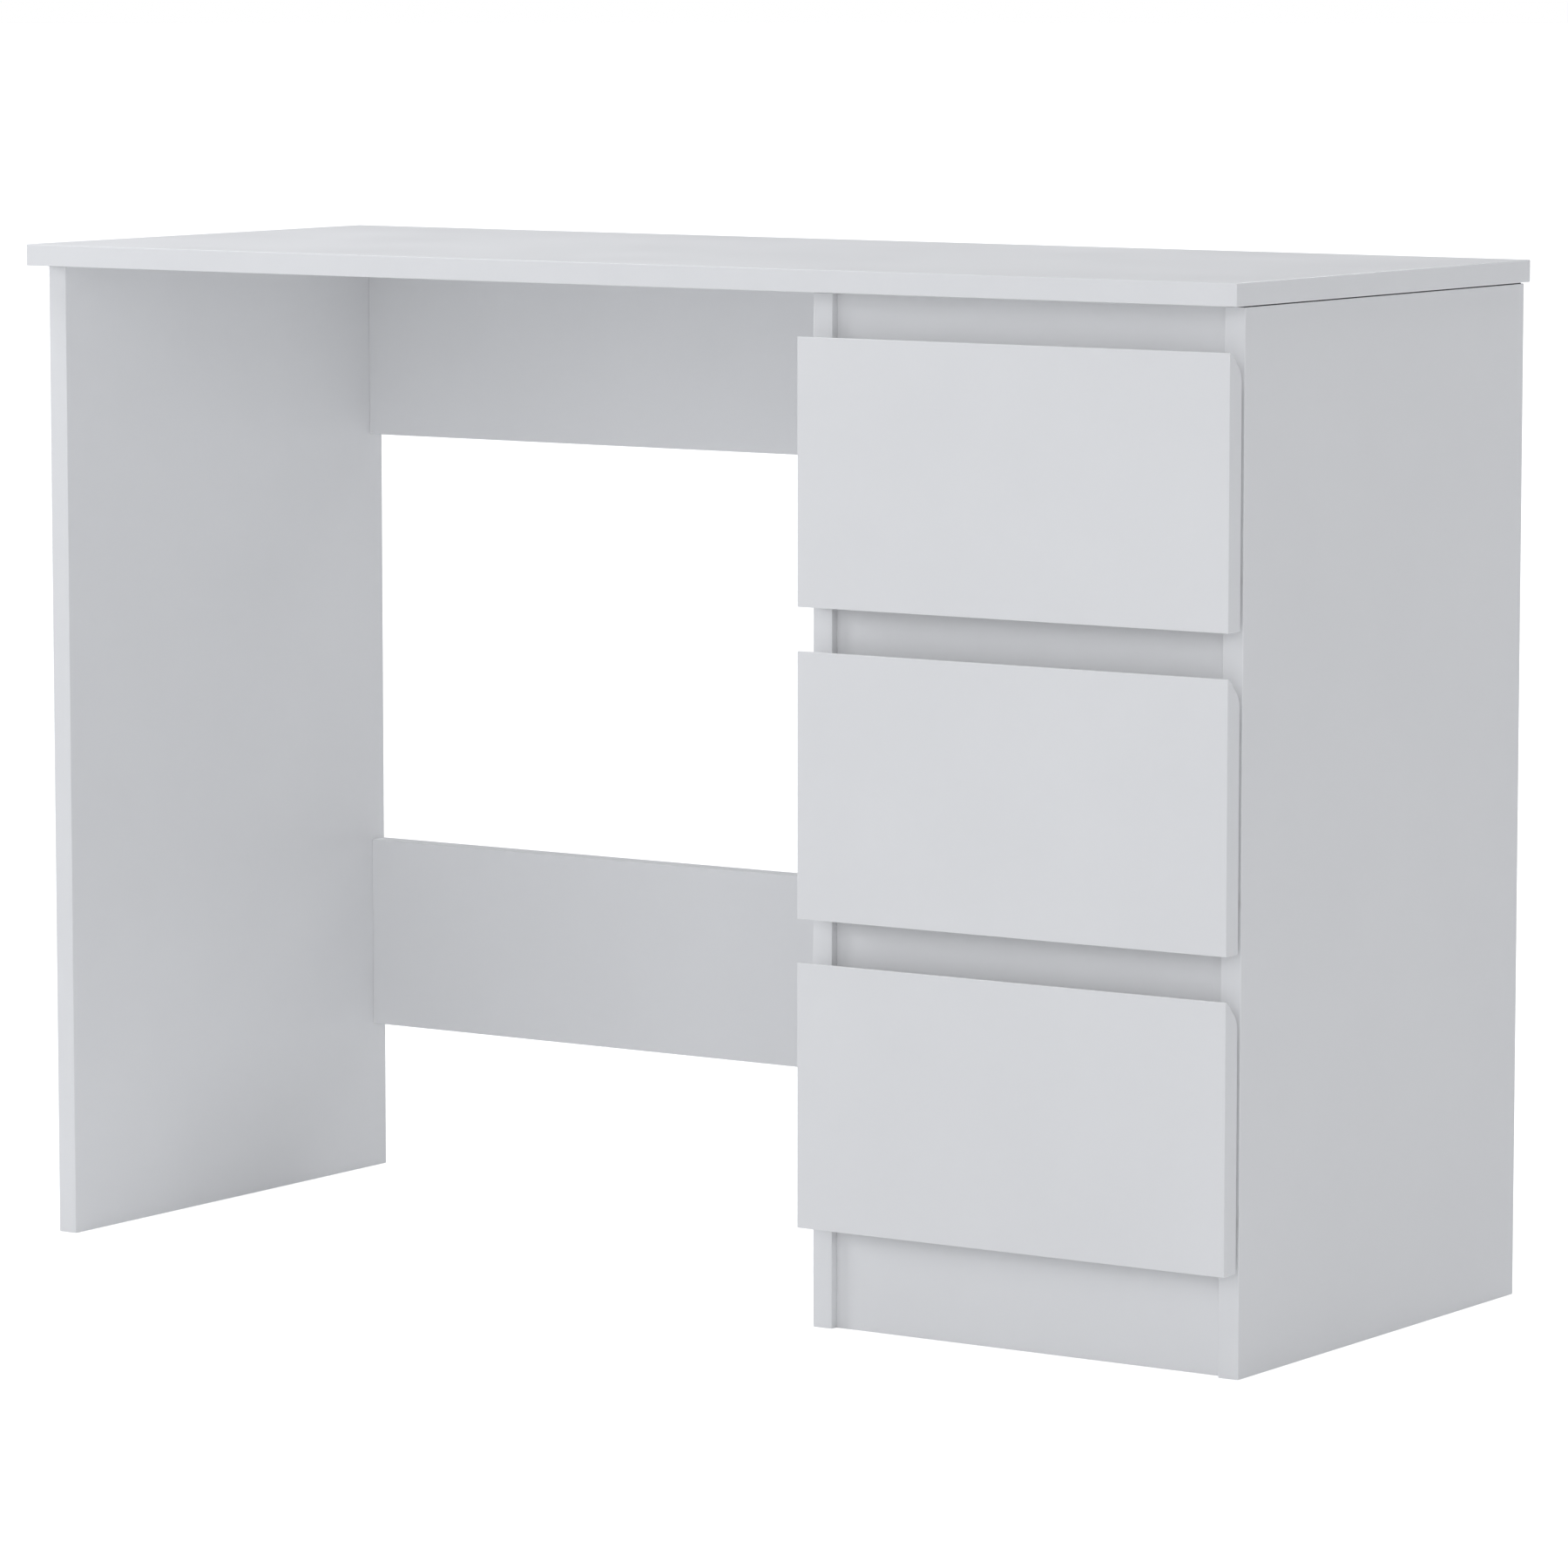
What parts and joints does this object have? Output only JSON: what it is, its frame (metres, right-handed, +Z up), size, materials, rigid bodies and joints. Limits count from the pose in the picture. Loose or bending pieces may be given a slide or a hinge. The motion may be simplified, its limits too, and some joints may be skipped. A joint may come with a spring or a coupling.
{
  "type": "writing desk with drawers",
  "caption": "Flat-pack writing desk with an open knee space and a cabinet of handleless drawers that slide out on roller runners.",
  "frame": {"origin": "on the floor, under the centre of the desk's outline", "axes": "+X runs along the desk to the sitter's right, where the drawers are, -Y points at the sitter, +Z is up"},
  "size_m": [1.05, 0.41, 0.75],
  "materials": {
    "melamine_board": "satin white melamine on chipboard, with matching edge band",
    "hardboard": "white lacquered thin hardboard",
    "runner_steel": "white powder-coated pressed steel",
    "roller_nylon": "moulded white nylon",
    "cam_zinc": "die-cast zinc",
    "fastener_steel": "zinc-plated steel",
    "beech_dowel": "plain grooved beech"
  },
  "bodies": {
    "carcass": {"cabinet_back_panel": "hardboard", "cam_bolts": "fastener_steel", "cam_housings": "cam_zinc", "desk_top": "melamine_board", "left_side_panel": "melamine_board", "lower_back_rail": "melamine_board", "lower_front_rail": "melamine_board", "middle_panel": "melamine_board", "plinth": "melamine_board", "rear_base_rail": "melamine_board", "right_side_panel": "melamine_board", "runner_1_left": "runner_steel", "runner_1_right": "runner_steel", "runner_2_left": "runner_steel", "runner_2_right": "runner_steel", "runner_3_left": "runner_steel", "runner_3_right": "runner_steel", "runner_screws": "fastener_steel", "top_front_rail": "melamine_board", "upper_back_rail": "melamine_board", "upper_front_rail": "melamine_board", "wood_dowels": "beech_dowel"},
    "drawer_1": {"drawer_1_back": "melamine_board", "drawer_1_bottom": "hardboard", "drawer_1_cam_bolts": "fastener_steel", "drawer_1_cam_housings": "cam_zinc", "drawer_1_front": "melamine_board", "drawer_1_left_rail": "runner_steel", "drawer_1_left_side": "melamine_board", "drawer_1_rail_screws": "fastener_steel", "drawer_1_right_rail": "runner_steel", "drawer_1_right_side": "melamine_board"},
    "drawer_1_rear_rollers": {"drawer_1_rear_rollers": "roller_nylon"},
    "drawer_2": {"drawer_2_back": "melamine_board", "drawer_2_bottom": "hardboard", "drawer_2_cam_bolts": "fastener_steel", "drawer_2_cam_housings": "cam_zinc", "drawer_2_front": "melamine_board", "drawer_2_left_rail": "runner_steel", "drawer_2_left_side": "melamine_board", "drawer_2_rail_screws": "fastener_steel", "drawer_2_right_rail": "runner_steel", "drawer_2_right_side": "melamine_board"},
    "drawer_2_rear_rollers": {"drawer_2_rear_rollers": "roller_nylon"},
    "drawer_3": {"drawer_3_back": "melamine_board", "drawer_3_bottom": "hardboard", "drawer_3_cam_bolts": "fastener_steel", "drawer_3_cam_housings": "cam_zinc", "drawer_3_front": "melamine_board", "drawer_3_left_rail": "runner_steel", "drawer_3_left_side": "melamine_board", "drawer_3_rail_screws": "fastener_steel", "drawer_3_right_rail": "runner_steel", "drawer_3_right_side": "melamine_board"},
    "drawer_3_rear_rollers": {"drawer_3_rear_rollers": "roller_nylon"},
    "runner_1_front_rollers": {"runner_1_front_rollers": "roller_nylon"},
    "runner_2_front_rollers": {"runner_2_front_rollers": "roller_nylon"},
    "runner_3_front_rollers": {"runner_3_front_rollers": "roller_nylon"}
  },
  "joints": [
    {"name": "drawer_1_slide", "type": "slide", "parent": "carcass", "child": "drawer_1", "axis": [0, -1, 0], "range_m": [0, 0.26]},
    {"name": "runner_1_front_roller_turn", "type": "hinge", "parent": "carcass", "child": "runner_1_front_rollers", "pos_m": [0.345, -0.168, 0.1008], "axis": [1, 0, 0], "range_deg": [0, 1660]},
    {"name": "drawer_1_rear_roller_turn", "type": "hinge", "parent": "drawer_1", "child": "drawer_1_rear_rollers", "pos_m": [0.345, 0.141, 0.1005], "axis": [1, 0, 0], "range_deg": [0, 1660]},
    {"name": "drawer_2_slide", "type": "slide", "parent": "carcass", "child": "drawer_2", "axis": [0, -1, 0], "range_m": [0, 0.26]},
    {"name": "runner_2_front_roller_turn", "type": "hinge", "parent": "carcass", "child": "runner_2_front_rollers", "pos_m": [0.345, -0.168, 0.3208], "axis": [1, 0, 0], "range_deg": [0, 1660]},
    {"name": "drawer_2_rear_roller_turn", "type": "hinge", "parent": "drawer_2", "child": "drawer_2_rear_rollers", "pos_m": [0.345, 0.141, 0.3205], "axis": [1, 0, 0], "range_deg": [0, 1660]},
    {"name": "drawer_3_slide", "type": "slide", "parent": "carcass", "child": "drawer_3", "axis": [0, -1, 0], "range_m": [0, 0.26]},
    {"name": "runner_3_front_roller_turn", "type": "hinge", "parent": "carcass", "child": "runner_3_front_rollers", "pos_m": [0.345, -0.168, 0.5408], "axis": [1, 0, 0], "range_deg": [0, 1660]},
    {"name": "drawer_3_rear_roller_turn", "type": "hinge", "parent": "drawer_3", "child": "drawer_3_rear_rollers", "pos_m": [0.345, 0.141, 0.5405], "axis": [1, 0, 0], "range_deg": [0, 1660]}
  ],
  "couplings": [
    {"joint": "runner_1_front_roller_turn", "follows": "drawer_1_slide", "rad_per_m": 111.11},
    {"joint": "drawer_1_rear_roller_turn", "follows": "drawer_1_slide", "rad_per_m": 111.11},
    {"joint": "runner_2_front_roller_turn", "follows": "drawer_2_slide", "rad_per_m": 111.11},
    {"joint": "drawer_2_rear_roller_turn", "follows": "drawer_2_slide", "rad_per_m": 111.11},
    {"joint": "runner_3_front_roller_turn", "follows": "drawer_3_slide", "rad_per_m": 111.11},
    {"joint": "drawer_3_rear_roller_turn", "follows": "drawer_3_slide", "rad_per_m": 111.11}
  ]
}
